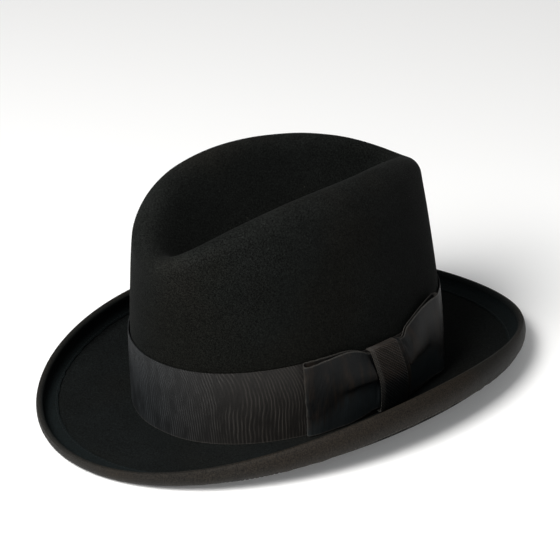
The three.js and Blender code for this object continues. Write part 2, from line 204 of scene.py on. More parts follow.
class HatBow(bpy.types.PropertyGroup):
    """Sizes of the bow. Lengths run along the band from the middle of the knot."""
    bow_angle: bpy.props.FloatProperty(
        name="Bow angle", description="Angle round the crown to the top of the knot",
        default=math.radians(89.9), subtype="ANGLE")
    front_reach: length("Front reach", "Knot to the front loop's folded end", 0.0532)
    rear_reach: length("Rear reach", "Knot to the rear loop's folded end", 0.0603)
    loop_start: length("Loop start", "Where each loop starts under the knot", 0.0015)
    loop_opening: length("Loop opening", "Clear opening inside a loop's folded end", 0.003)
    inner_layer: length("Inner layer", "Band's face to the middle of a loop's inner layer", 0.0008)
    outer_layer: length("Outer layer", "Band's face to the middle of a loop's outer layer", 0.0022)
    loop_face: length("Loop face", "Band's face to the loops' outer face under the knot", 0.0027)
    pleat_height: length("Pleat height", "How far the pleat stands out beside the knot", 0.0036)
    front_pleat: length("Front pleat", "Length in which the front loop's pleat fades out", 0.027)
    rear_pleat: length("Rear pleat", "Length in which the rear loop's pleat fades out", 0.030)
    knot_bulge: length("Knot bulge", "How far the knot's ribbon stands out at mid height", 0.003)
    front_gather: length("Front gather", "Length in which the front loop widens", 0.017)
    rear_gather: length("Rear gather", "Length in which the rear loop widens", 0.036)
    knot_width: length("Knot width", "Width of the knot", 0.0186)
    knot_lean: length("Knot lean", "How far the knot's foot stands behind its top", 0.004)
    underwrap_step: length("Underwrap step", "How far the lower turn shows behind the knot", 0.004)
    underwrap_clearance: length("Underwrap clearance", "Loops' face to the lower turn", 0.0003)
    knot_clearance: length("Knot clearance", "Loops' face to the knot", 0.0016)


class HatFinish(bpy.types.PropertyGroup):
    """Colours of the felt and the ribbons."""
    felt: colour("Felt", "The felt where it is clean", (0.0042, 0.0046, 0.0041))
    # Rubbed felt on the crests, made lighter also as a painted highlight
    felt_rubbed_and_lit: colour(
        "Rubbed felt", "The felt where hands have rubbed it", (0.0086, 0.0089, 0.0081))
    # The band's colour at the front, its blue tint a painted highlight
    band_front_painted_blue_highlight: colour("Band, cool", "The band at the front", (0.0136, 0.0150, 0.0162))
    band_warm: colour("Band, warm", "The band at the side", (0.0150, 0.0134, 0.0120))
    bow: colour("Bow", "The ribbon of the bow", (0.0048, 0.0053, 0.0056))
    # Painted fill light: the loops' lower half coloured lighter and bluer
    bow_low_painted_fill: colour(
        "Bow, lower half", "The lower half of the bow's loops", (0.0130, 0.0166, 0.0184))
    # Real fading on the loops and lower turn, and on the knot its upper half painted lighter as
    # lit
    bow_brown_faded_and_lit: colour("Faded bow", "The bow's ribbon where it has faded", (0.0132, 0.0098, 0.0076))
    binding: colour("Binding", "The outside of the binding", (0.0108, 0.0093, 0.0075))
    # Painted shade on the binding's inner leg, the same ribbon as outside
    binding_inside_painted_shade: colour(
        "Binding, inside", "The inside of the binding", (0.0026, 0.0049, 0.0053))
    # The same sewing thread, painted dark as shade on the inner leg
    thread_inside_painted_shade: colour(
        "Inner thread", "Sewing thread on the brim's upper side", (0.0042, 0.0058, 0.0062))
    thread: colour("Thread", "Worn edges and sewing thread", (0.055, 0.052, 0.047))
    lint: colour("Lint", "Specks of lint on the felt", (0.16, 0.15, 0.12))


class HatStage(bpy.types.PropertyGroup):
    """The floor, the light and the camera."""
    floor: colour("Floor", "The plain pale floor", (0.93, 0.93, 0.93))
    floor_glow: share("Floor glow", "Light that the floor gives off by itself", 0.12)
    sky: share("Sky", "Strength of the even light from all round", 0.21)
    key: share("Key", "Power of the large lamp before the hat, in watts", 50.0)
    window: share("Window", "Power of the cool lamp at the left, in watts", 1.0)
    fill: share("Fill", "Power of the weak lamp at the right, in watts", 1.2)
    camera_azimuth: bpy.props.FloatProperty(
        name="Azimuth", description="Angle of the camera round the hat from its front",
        default=math.radians(48.792), subtype="ANGLE")
    camera_elevation: bpy.props.FloatProperty(
        name="Elevation", description="Angle of the camera above the floor",
        default=math.radians(24.664), subtype="ANGLE")
    camera_distance: length("Distance", "Aim point to the camera", 1.9616)


def settings(group):
    """One group of the scene's settings."""
    return getattr(bpy.context.scene, "hat_" + group)


# The hat's form

def round_the_hat(values, angle):
    """A value that runs smoothly through a table's values, which stand at equal angles."""
    spans = len(values) - 1
    weights = [0.5 if place in (0, spans) else 1.0 for place in range(spans + 1)]
    total = np.zeros_like(angle)
    for wave in range(spans + 1):
        strength = sum(weights[place] * values[place] * math.cos(math.pi * wave * place / spans)
                       for place in range(spans + 1))
        total += 2 / spans * weights[wave] * strength * np.cos(wave * angle)
    return total


def mix(start, end, amount):
    """A value between two others."""
    return start + (end - start) * amount


def smooth(value, low, high):
    """0 below low, 1 above high and a smooth step between."""
    t = np.clip((value - low) / (high - low), 0, 1)
    return t * t * (3 - 2 * t)


def unit_oval(angle, roundness):
    """Where an angle falls on a unit oval: how far ahead and how far aside."""
    power = 2 / roundness
    ahead = np.sign(np.cos(angle)) * np.abs(np.cos(angle)) ** power
    aside = np.sign(np.sin(angle)) * np.abs(np.sin(angle)) ** power
    return ahead, aside


def oval_point(ahead, aside, half_length, half_width, egg, middle):
    """A point of an oval in plan, and its outward direction."""
    x = half_width * aside * (1 - egg * ahead)
    y = middle - half_length * ahead
    out = np.stack([aside * half_length, -ahead * half_width])
    out /= np.linalg.norm(out, axis=0)
    return x, y, out


def crest_height(angle):
    """Height of the crest above the table."""
    return settings("shape").crown_height * round_the_hat(CREST["height"], angle)


def roll_radius(angle):
    """Radius of the crest's soft edge."""
    return settings("shape").crest_roll * round_the_hat(CREST["roll"], angle)


def wall_point(angle, height, stand_off):
    """A point of the crown's outer wall in plan, and its outward direction."""
    hat = settings("shape")
    part = (height - hat.crown_foot) / (crest_height(angle) - hat.crown_foot)
    climb = np.clip(part, 0, 1) ** WALL_CURVE
    foot_ahead, foot_aside = unit_oval(angle, ROUNDNESS["foot"])
    crest_ahead, crest_aside = unit_oval(angle, ROUNDNESS["crest"])
    return oval_point(
        mix(foot_ahead, crest_ahead, climb), mix(foot_aside, crest_aside, climb),
        hat.head_length / 2 + hat.crest_reach * climb + stand_off,
        hat.head_width / 2 - hat.crest_taper * climb + stand_off,
        mix(NARROWING["foot"], NARROWING["crest"], climb), hat.crown_set_back)


def foot_top(angle):
    """Height of the felt's upper face at the crown's foot."""
    hat = settings("shape")
    underside = hat.side_lift * round_the_hat(BRIM["foot"], angle) - hat.pressed_in
    return np.maximum(underside, 0) + hat.felt_thickness


def crest_point(angle, turn):
    """A point of the crest's rolled edge, turned in from the wall."""
    radius = roll_radius(angle)
    height = crest_height(angle) - radius * (1 - np.sin(turn))
    x, y, out = wall_point(angle, height, 0)
    inward = radius * (1 - np.cos(turn))
    return np.stack([x - out[0] * inward, y - out[1] * inward, height])


def dent_point(angle, share_up):
    """A point of the dent, 1 on the crest and 0 on the line of its floor."""
    hat = settings("shape")
    crest = crest_point(angle, np.full_like(angle, math.pi / 2))
    y = hat.crown_set_back + (crest[1] - hat.crown_set_back) * mix(DENT_LENGTH, 1, share_up)
    floor = hat.crown_height - hat.dent_depth + DENT_SLOPE * (y - hat.crown_set_back)
    drop = (1 - np.cos(math.pi * (1 - share_up))) / 2
    return np.stack([crest[0] * share_up, y, mix(crest[2], floor, drop)])


class BrimSection:
    """The brim's section at each angle: its foot, the centre of its curl, and the curl's turns."""

    def __init__(self, angle):
        hat = settings("shape")
        ribbon = settings("ribbon")
        self.build = ribbon.ribbon_build
        self.felt = hat.felt_thickness
        rim = self.felt + 2 * self.build
        front, side, back = [hat.curl_inside * part + rim for part in BRIM["curl"]]
        ahead, aside = unit_oval(angle, ROUNDNESS["brim"])
        x, y, self.out = oval_point(
            ahead, aside, (hat.brim_length - front - back) / 2, hat.brim_width / 2 - side,
            NARROWING["brim"], (front - back) / 2)
        self.radius = hat.curl_inside * round_the_hat(BRIM["curl"], angle) + rim
        flat = hat.side_lift * round_the_hat(BRIM["flat"], angle) - hat.pressed_in
        self.centre = np.stack([x, y, flat + self.radius])
        foot_z = foot_top(angle) - self.felt
        foot_x, foot_y, _ = wall_point(angle, foot_z + self.felt, 0)
        self.foot = np.stack([foot_x, foot_y, foot_z])
        run = np.hypot(x - foot_x, y - foot_y)
        self.turn_start = np.arctan2(flat + self.build - foot_z, run)
        self.turn_end = np.radians(round_the_hat(BRIM["turn"], angle)) - self.build / self.radius

    def on_curl(self, turn, radius):
        """A point about the curl's centre, turned up from straight below."""
        across = radius * np.sin(turn)
        return np.stack([
            self.centre[0] + self.out[0] * across,
            self.centre[1] + self.out[1] * across,
            self.centre[2] - radius * np.cos(turn)])

    def face_radius(self, face):
        """Radius of the felt's outside for face 1, and of its inside for face -1."""
        return self.radius - self.build - (self.felt if face < 0 else 0)

    def face_length(self, face):
        """Length of one face of the brim, from the felt's edge to the crown's foot."""
        start = self.on_curl(self.turn_start, self.face_radius(1))
        curl = (self.turn_end - self.turn_start) * self.face_radius(face)
        return curl + np.linalg.norm(start - self.foot, axis=0)

    def point(self, distance, face, lift):
        """A point in from the felt's edge by a distance, off its face by a lift."""
        radius = self.face_radius(face)
        curl = (self.turn_end - self.turn_start) * radius
        turn = self.turn_end - np.minimum(distance, curl) / radius
        curled = self.on_curl(turn, radius + face * lift)
        start = self.on_curl(self.turn_start, self.face_radius(1))
        span = np.linalg.norm(start - self.foot, axis=0)
        flat = mix(start, self.foot, np.clip((distance - curl) / span, 0, 1))
        flat[2] += -lift if face > 0 else self.felt + lift
        return np.where(distance <= curl, curled, flat)

    def past_edge(self, radius, along):
        """A point straight on past the felt's edge."""
        point = self.on_curl(self.turn_end, radius)
        point[0] += self.out[0] * along * np.cos(self.turn_end)
        point[1] += self.out[1] * along * np.cos(self.turn_end)
        point[2] += along * np.sin(self.turn_end)
        return point


def wander(points, grain, seed):
    """A smooth value between about -1 and 1 at each point, the same on every run."""
    shift = Vector((seed, 2 * seed, 3 * seed))
    return np.array([noise.noise(Vector(point) / grain + shift) for point in points.T])


def wander_along(values, grain, seed):
    """A smooth value between about -1 and 1 along a line, the same on every run."""
    points = np.stack([values, np.full_like(values, seed), np.zeros_like(values)])
    return wander(points, grain, seed)


def walked(steps):
    """The length walked up to each point of a line, from the steps between its points."""
    return np.concatenate([[0], np.cumsum(steps)])


def relax(line, rounds):
    """Softens the corners of a line, with its ends kept in place."""
    for _ in range(rounds):
        line[..., 1:-1] = (line[..., :-2] + 2 * line[..., 1:-1] + line[..., 2:]) / 4


# Making and finishing pieces

def deselect():
    """Leaves nothing selected."""
    bpy.ops.object.select_all(action="DESELECT")


def select_only(piece):
    """Makes one piece the only one that an operator acts on."""
    deselect()
    piece.select_set(True)
    bpy.context.view_layer.objects.active = piece


def read_points(piece, what="co"):
    """A row for each axis: the places of a piece's points, or with "normal" where they face."""
    flat = np.empty(len(piece.data.vertices) * 3)
    piece.data.vertices.foreach_get(what, flat)
    return flat.reshape(-1, 3).T


def move_points(piece, points):
    """Moves each point of a piece to its new place."""
    piece.data.vertices.foreach_set("co", points.T.ravel())
    piece.data.update()


def measured_uv(piece, along, across, points):
    """Writes a UV map in metres, measured along the middle line and across the first column."""
    middle = across[np.abs(across - 0.5).argmin()]
    row = np.where(np.abs(across - middle) < 1e-6)[0]
    row = row[np.argsort(along[row])]
    column = np.where(along < 1e-6)[0]
    column = column[np.argsort(across[column])]

    def walk(line):
        return walked(np.linalg.norm(np.diff(points[:, line], axis=1), axis=0))

    u = np.interp(along, along[row], walk(row))
    v = np.interp(across, across[column], walk(column))
    corners = np.empty(len(piece.data.loops), np.int32)
    piece.data.loops.foreach_get("vertex_index", corners)
    layer = piece.data.uv_layers.active
    layer.data.foreach_set("uv", np.stack([u[corners], v[corners]], axis=1).ravel())


def sheet(name, columns, rows, place, worn=None):
    """A grid whose points are moved to where place(along, across) says, both from 0 to 1.

    What worn(along, across) says is kept with each point, for the material to read.
    """
    deselect()
    bpy.ops.mesh.primitive_grid_add(x_subdivisions=columns, y_subdivisions=rows, size=1)
    piece = bpy.context.active_object
    piece.name = name
    piece.data.name = name
    grid = read_points(piece)
    along = grid[0] + 0.5
    across = grid[1] + 0.5
    points = place(along, across)
    move_points(piece, points)
    measured_uv(piece, along, across, points)
    if worn:
        layer = piece.data.attributes.new("worn", "FLOAT", "POINT")
        layer.data.foreach_set("value", worn(along, across))
    return piece


def close_seam(piece):
    """Joins the points where a sheet's ends meet."""
    select_only(piece)
    bpy.ops.object.mode_set(mode="EDIT")
    bpy.ops.mesh.select_all(action="SELECT")
    bpy.ops.mesh.remove_doubles(threshold=1e-6)
    bpy.ops.object.mode_set(mode="OBJECT")


def thicken(piece, thickness, offset):
    """Gives a sheet its thickness, on its inner side for offset -1 and on both sides for 0."""
    select_only(piece)
    modifier = piece.modifiers.new("Thickness", "SOLIDIFY")
    modifier.thickness = thickness
    modifier.offset = offset
    modifier.use_even_offset = True
    bpy.ops.object.modifier_apply(modifier=modifier.name)


def dress(piece, node, material):
    """Finishes a piece: smooth faces, its material, and what the frame needs to know."""
    select_only(piece)
    bpy.ops.object.shade_smooth_by_angle(angle=math.radians(50))
    piece.data.materials.clear()
    piece.data.materials.append(material)
    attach(piece, BODY)
    if node:
        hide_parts(node)


# Material nodes

class Net:
    """Adds nodes to a material or a group, and joins them as they are added."""

    def __init__(self, tree):
        self.tree = tree

    def add(self, kind, inputs=(), **values):
        """A node with its settings, and with a value or a link for each input."""
        node = self.tree.nodes.new(kind)
        for key, value in values.items():
            setattr(node, key, value)
        for key, value in dict(inputs).items():
            if isinstance(value, bpy.types.NodeSocket):
                self.tree.links.new(value, node.inputs[key])
            else:
                node.inputs[key].default_value = value
        return node

    def link(self, value, socket):
        """Feeds a value to a shader's or a group's socket."""
        self.tree.links.new(value, socket)

    def math(self, operation, first, second=0.0, clamp=False):
        """One of the Math node's operations."""
        node = self.add(
            "ShaderNodeMath", {0: first, 1: second}, operation=operation, use_clamp=clamp)
        return node.outputs[0]

    def plus(self, first, second):
        """The sum of two values."""
        return self.math("ADD", first, second)

    def minus(self, first, second):
        """A value less another."""
        return self.math("SUBTRACT", first, second)

    def times(self, first, second):
        """The product of two values."""
        return self.math("MULTIPLY", first, second)

    def split(self, vector):
        """The X, Y and Z of a vector."""
        return self.add("ShaderNodeSeparateXYZ", {0: vector}).outputs

    def drawn_out(self, first, second, part):
        """A place for noise whose grain is drawn out along the second value."""
        return self.add(
            "ShaderNodeCombineXYZ", {"X": first, "Y": self.times(second, part)}).outputs[0]

    def wave(self, value, pitch):
        """A wave between 0 and 1, of a pitch in metres."""
        turns = self.times(self.math("DIVIDE", value, pitch), TURN)
        return self.plus(self.times(self.math("SINE", turns), 0.5), 0.5)

    def ramp(self, value, low, high, out_low=0.0, out_high=1.0):
        """A smooth step of a value from low to high."""
        inputs = {"Value": value, "From Min": low, "From Max": high}
        inputs.update({"To Min": out_low, "To Max": out_high})
        node = self.add("ShaderNodeMapRange", inputs, interpolation_type="SMOOTHSTEP")
        return node.outputs["Result"]

    def noise(self, vector, scale, detail=2.0, roughness=0.5):
        """Even noise between 0 and 1, with a scale in grains for each metre."""
        node = self.add(
            "ShaderNodeTexNoise",
            {"Vector": vector, "Scale": scale, "Detail": detail, "Roughness": roughness})
        return node.outputs["Fac"]

    def blend(self, amount, first, second, kind="MIX"):
        """A colour between two others, or with MULTIPLY their product."""
        node = self.add(
            "ShaderNodeMix", {0: amount, 6: first, 7: second}, data_type="RGBA", blend_type=kind)
        return node.outputs[2]

    def brighten(self, base, factor):
        """A colour times a number."""
        grey = self.add("ShaderNodeCombineColor", {"Red": factor, "Green": factor, "Blue": factor})
        return self.blend(1.0, base, grey.outputs[0], "MULTIPLY")


def rgba(values):
    """A colour with its opacity."""
    return (*values, 1.0)


def node_group(name, inputs, outputs):
    """An empty node group with float, vector or colour sockets."""
    group = bpy.data.node_groups.new(name, "ShaderNodeTree")
    for label, kind, default in inputs:
        socket = group.interface.new_socket(
            label, in_out="INPUT", socket_type="NodeSocket" + kind)
        if default is not None:
            socket.default_value = default
    for label, kind in outputs:
        group.interface.new_socket(label, in_out="OUTPUT", socket_type="NodeSocket" + kind)
    net = Net(group)
    return net, net.add("NodeGroupInput").outputs, net.add("NodeGroupOutput").inputs


def use_group(net, name, inputs):
    """Places a finished group in a material."""
    return net.add("ShaderNodeGroup", inputs, node_tree=bpy.data.node_groups[name]).outputs


def make_ribs_group():
    """Ribs across a ribbon, with weft threads of uneven weight, from a UV map in metres."""
    net, given, result = node_group(
        "Ribbon ribs",
        [("Place", "Vector", None), ("Pitch", "Float", 0.0013), ("Lean", "Float", 0.0)],
        [("Height", "Float"), ("Shade", "Float")])
    place = net.split(given["Place"])
    leaning = net.plus(place["X"], net.times(place["Y"], given["Lean"]))
    uneven = net.noise(net.drawn_out(leaning, place["Y"], 0.06), 700.0, 1.0)
    swing = net.times(net.minus(uneven, 0.5), given["Pitch"])
    ribs = net.wave(net.plus(leaning, net.times(swing, 0.5)), given["Pitch"])
    net.link(ribs, result["Height"])
    net.link(net.times(ribs, net.plus(uneven, 0.5)), result["Shade"])


def make_watering_group():
    """Thin wavy watered streaks that run across a ribbon, from a UV map in metres."""
    slow_bend = 0.022
    quick_bend = 0.0024
    straight_up_to = 0.0185
    lean = 13.0
    net, given, result = node_group(
        "Watered streaks", [("Place", "Vector", None), ("Pitch", "Float", 0.0032)],
        [("Streak", "Float")])
    place = net.split(given["Place"])
    tall = net.drawn_out(place["X"], place["Y"], 0.8)
    slow = net.minus(net.noise(tall, 17.0, 0.0), 0.5)
    quick = net.minus(net.noise(tall, 95.0, 1.0), 0.5)
    bend = net.plus(net.times(slow, slow_bend), net.times(quick, quick_bend))
    above = net.math("MAXIMUM", net.minus(place["Y"], straight_up_to), 0.0)
    leaning = net.times(net.math("POWER", above, 2.0), lean)
    shifted = net.plus(net.plus(place["X"], bend), leaning)
    line = net.math("POWER", net.wave(shifted, given["Pitch"]), 3.0)
    shreds = net.drawn_out(place["X"], place["Y"], 0.35)
    broken = net.ramp(net.noise(shreds, 150.0), 0.33, 0.62)
    net.link(net.times(line, broken), result["Streak"])


def make_wear_group():
    """Broad uneven fading and fine specks, from Object coordinates."""
    net, given, result = node_group(
        "Faded specks",
        [("Place", "Vector", None), ("Mottle", "Float", 0.2), ("Speck", "Float", 0.2)],
        [("Factor", "Float"), ("Broad", "Float"), ("Fine", "Float")])
    broad = net.noise(given["Place"], 28.0, 3.0, 0.6)
    fine = net.noise(given["Place"], 1150.0, 2.0, 0.75)
    swing = net.times(net.minus(broad, 0.5), given["Mottle"])
    grain = net.times(net.minus(fine, 0.5), given["Speck"])
    net.link(net.plus(net.plus(swing, grain), 1.0), result["Factor"])
    net.link(broad, result["Broad"])
    net.link(fine, result["Fine"])


def make_lint_group():
    """A few bright specks of lint, far apart, from Object coordinates."""
    cells_a_metre = 70.0
    net, given, result = node_group(
        "Lint", [("Place", "Vector", None), ("Size", "Float", 0.0006)], [("Mask", "Float")])
    cells = net.add("ShaderNodeTexVoronoi", {"Vector": given["Place"], "Scale": cells_a_metre})
    past = net.minus(cells.outputs["Distance"], net.times(given["Size"], cells_a_metre))
    spot = net.ramp(past, -0.015, 0.005, 1.0, 0.0)
    chosen = net.add("ShaderNodeSeparateColor", {0: cells.outputs["Color"]}).outputs[0]
    net.link(net.times(spot, net.ramp(chosen, 0.55, 0.75)), result["Mask"])


def new_material(name, roughness, specular, sheen=0.0):
    """A material, a net to add its nodes with, and its shader."""
    material = bpy.data.materials.new(name)
    material.use_nodes = True
    shader = material.node_tree.nodes["Principled BSDF"]
    shader.inputs["Roughness"].default_value = roughness
    shader.inputs["Sheen Weight"].default_value = sheen
    shader.inputs["Sheen Roughness"].default_value = 0.45
    shader.inputs["Specular IOR Level"].default_value = specular
    return material, Net(material.node_tree), shader


def set_bump(net, shader, height, distance, strength):
    """Drives the shader's normal by a height."""
    bump = net.add(
        "ShaderNodeBump", {"Height": height, "Distance": distance, "Strength": strength})
    net.link(bump.outputs["Normal"], shader.inputs["Normal"])


def felt_material():
    """Near-black felt, faded where it is rubbed, with a painted highlight on the crests and
    painted shade in the dent, lighter and cooler on the brim, with specks and lint.
    """
    finish = settings("finish")
    material, net, shader = new_material("Black felt", 0.95, 0.05, sheen=0.008)
    place = net.add("ShaderNodeTexCoord").outputs["Object"]
    wear = use_group(net, "Faded specks", {"Place": place, "Mottle": 0.4, "Speck": 3.1})
    # The worn attribute: rubbing along the crests, lighter also as a painted highlight, and less
    # inside the dent as painted shade
    rubbed = net.add("ShaderNodeAttribute", attribute_name="worn").outputs["Fac"]
    patches = net.ramp(wear["Broad"], 0.2, 0.7, 0.55, 1.0)
    faded = net.math("MULTIPLY", rubbed, patches, clamp=True)
    base = net.blend(faded, rgba(finish.felt), rgba(finish.felt_rubbed_and_lit))
    warm = net.ramp(net.noise(place, 11.0), 0.42, 0.62)
    tint = net.blend(warm, rgba((0.96, 1.02, 1.04)), rgba((1.05, 1.0, 0.93)))
    above_brim = net.ramp(net.split(place)["Z"], 0.024, 0.05)
    # Lighter and bluer below the band, on the brim
    lighter_cooler_on_brim = net.blend(above_brim, rgba((1.22, 1.28, 1.4)), rgba((1.0, 1.0, 1.0)))
    tinted = net.blend(1.0, net.blend(1.0, base, tint, "MULTIPLY"), lighter_cooler_on_brim, "MULTIPLY")
    grain = net.math("POWER", net.math("MAXIMUM", wear["Factor"], 0.3), 1.7)
    speckled = net.brighten(tinted, net.times(grain, 0.9))
    lint = use_group(net, "Lint", {"Place": place, "Size": 0.00045})["Mask"]
    linted = net.blend(net.times(lint, 0.18), speckled, rgba(finish.lint))
    net.link(linted, shader.inputs["Base Color"])
    fibres = net.add("ShaderNodeMapping", {"Vector": place, "Scale": (1.0, 1.0, 1.6)}).outputs[0]
    nap = net.plus(wear["Fine"], net.noise(fibres, 520.0, 3.0, 0.7))
    set_bump(net, shader, nap, 0.00035, 0.6)
    return material


def band_colour(net, place):
    """Cool at the front, where the blue tint is a painted highlight, and warmer towards the bow.
    """
    finish = settings("finish")
    aside = net.ramp(net.split(place["Object"])["X"], -0.02, 0.07)
    return net.blend(aside, rgba(finish.band_front_painted_blue_highlight), rgba(finish.band_warm))


def binding_colour(net, place):
    """Brownish outside the brim's edge, and darker and cooler inside it, which is painted shade.
    """
    finish = settings("finish")
    warm = net.ramp(net.noise(place["Object"], 14.0), 0.4, 0.62)
    tint = net.blend(warm, rgba((0.95, 1.0, 1.04)), rgba((1.12, 1.0, 0.86)))
    outside = net.blend(1.0, rgba(finish.binding), tint, "MULTIPLY")
    inside = net.ramp(net.split(place["UV"])["Y"], *BINDING_EDGE)
    return net.blend(inside, outside, rgba(finish.binding_inside_painted_shade))


def bow_colour(net, kind, place, wear):
    """The bow's ribbon, browned where it has faded, with painted light: the knot lighter on its
    upper half and dark below, and the loops' lower half lighter and cooler.
    """
    finish = settings("finish")
    dark = rgba(finish.bow)
    brown = rgba(finish.bow_brown_faded_and_lit)
    uv = net.split(place["UV"])
    if kind == "knot":
        # Painted light: the knot's upper half lighter brown as lit, its lower half dark as shaded
        return net.blend(net.ramp(uv["X"], 0.021, 0.029), dark, brown)
    streaky = net.add("ShaderNodeMapping", {"Vector": place["UV"], "Scale": (1.0, 0.22, 1.0)})
    streaks = net.noise(streaky.outputs[0], 240.0, 3.0, 0.6)
    fading = net.plus(net.times(streaks, 0.5), net.times(wear["Broad"], 0.5))
    if kind == "lower turn":
        return net.blend(net.ramp(fading, 0.42, 0.6), dark, brown)
    # Painted fill light: the loops' lower half lighter and bluer
    above = net.minus(uv["Y"], net.ramp(uv["X"], 0.058, 0.088, 0.0, 0.010))
    lower_half_painted_fill = net.blend(net.ramp(above, 0.004, 0.010), rgba(finish.bow_low_painted_fill), dark)
    faded = net.times(net.ramp(fading, 0.44, 0.6), net.ramp(above, 0.0, 0.009, 0.15, 1.0))
    return net.blend(faded, lower_half_painted_fill, brown)


def ribbon_material(name, kind, width, pitch, lean=0.0, watering=0.0, rib_shade=0.25,
                    rib_height=0.00012, roughness=0.46, specular=0.3, speck=0.7, selvedge=0.6):
    """A ribbed ribbon. Its worn threads show along both edges and where the attribute says."""
    finish = settings("finish")
    ribbon = settings("ribbon")
    material, net, shader = new_material(name, roughness, specular)
    place = net.add("ShaderNodeTexCoord").outputs
    ribs = use_group(net, "Ribbon ribs", {"Place": place["UV"], "Pitch": pitch, "Lean": lean})
    wear = use_group(
        net, "Faded specks", {"Place": place["Object"], "Mottle": 0.3, "Speck": speck})
    across = net.split(place["UV"])["Y"]
    if kind == "band":
        base = band_colour(net, place)
    elif kind == "binding":
        base = binding_colour(net, place)
        rough = net.ramp(across, *BINDING_EDGE, roughness, 1.0)
        net.link(rough, shader.inputs["Roughness"])
    else:
        base = bow_colour(net, kind, place, wear)
    factor = net.plus(wear["Factor"], net.times(net.minus(ribs["Shade"], 0.5), rib_shade))
    height = ribs["Height"]
    if watering:
        given = {"Place": place["UV"], "Pitch": ribbon.watering_pitch}
        streak = use_group(net, "Watered streaks", given)["Streak"]
        factor = net.plus(factor, net.times(net.minus(streak, 0.25), watering))
        height = net.plus(height, net.times(streak, 1.6))
    from_middle = net.math("ABSOLUTE", net.minus(across, width / 2))
    edge = net.ramp(from_middle, width / 2 - 0.0007, width / 2 - 0.0003, 0.0, selvedge)
    fold = net.add("ShaderNodeAttribute", attribute_name="worn").outputs["Fac"]
    fluffy = net.ramp(wear["Fine"], 0.35, 0.6, 0.4, 1.0)
    frayed = net.math("MULTIPLY", net.math("MAXIMUM", edge, fold), fluffy, clamp=True)
    ribbed = net.brighten(base, net.math("MAXIMUM", factor, 0.2))
    net.link(net.blend(frayed, ribbed, rgba(finish.thread)), shader.inputs["Base Color"])
    set_bump(net, shader, height, rib_height, 0.9)
    return material


def thread_material(name, thread):
    """Sewing thread."""
    material, net, shader = new_material(name, 0.7, 0.2)
    place = net.add("ShaderNodeTexCoord").outputs["Object"]
    wear = use_group(net, "Faded specks", {"Place": place, "Mottle": 0.4, "Speck": 0.6})
    net.link(net.brighten(rgba(thread), wear["Factor"]), shader.inputs["Base Color"])
    set_bump(net, shader, wear["Fine"], 0.0001, 0.5)
    return material


# The felt and its binding

def felt_sheet():
    """The crown's outside and the brim's upper face, from the brim's edge to the dent's floor."""
    curl_end = 0.17
    foot = 0.33
    wall_end = 0.56
    crest = 0.68

    def place(along, across):
        angle = along * TURN
        section = BrimSection(angle)

        def within(low, high):
            return np.clip((across - low) / (high - low), 0, 1)

        curl = (section.turn_end - section.turn_start) * section.face_radius(-1)
        flat = mix(curl, section.face_length(-1), within(curl_end, foot))
        distance = np.where(across < curl_end, curl * within(0, curl_end), flat)
        brim = section.point(distance, -1, 0)
        wall_top = crest_height(angle) - roll_radius(angle)
        height = mix(foot_top(angle), wall_top, within(foot, wall_end))
        x, y, _ = wall_point(angle, height, 0)
        rolled = crest_point(angle, within(wall_end, crest) * math.pi / 2)
        dented = dent_point(angle, 1 - within(crest, 1))
        points = np.where(across <= foot, brim, np.stack([x, y, height]))
        points = np.where(across > wall_end, rolled, points)
        return np.where(across > crest, dented, points)

    def rubbed(along, across):
        """Where hands rub the felt and its highlight is painted: along the crests, and less inside
        the dent, as painted shade.
        """
        dent_painted_shade = 0.78 * smooth(across, crest, crest + 0.1)
        return smooth(across, wall_end - 0.07, crest - 0.06) * (1 - dent_painted_shade)

    return sheet("felt", 224, 170, place, rubbed)


class HAT_OT_felt_body(bpy.types.Operator):
    """Make the felt crown and brim"""
    bl_idname = "hat.felt_body"
    bl_label = "Felt Body"

    def execute(self, context):
        hat = settings("shape")
        piece = felt_sheet()
        close_seam(piece)
        points = read_points(piece)
        uneven = wander(points, 0.045, 3.0) + 0.4 * wander(points, 0.018, 7.0)
        above_band = smooth(points[2], 0.058, 0.080)
        outward = read_points(piece, "normal")
        move_points(piece, points + outward * uneven * hat.unevenness * above_band)
        thicken(piece, hat.felt_thickness, -1)
        dress(piece, "felt_body", felt_material())
        return {"FINISHED"}


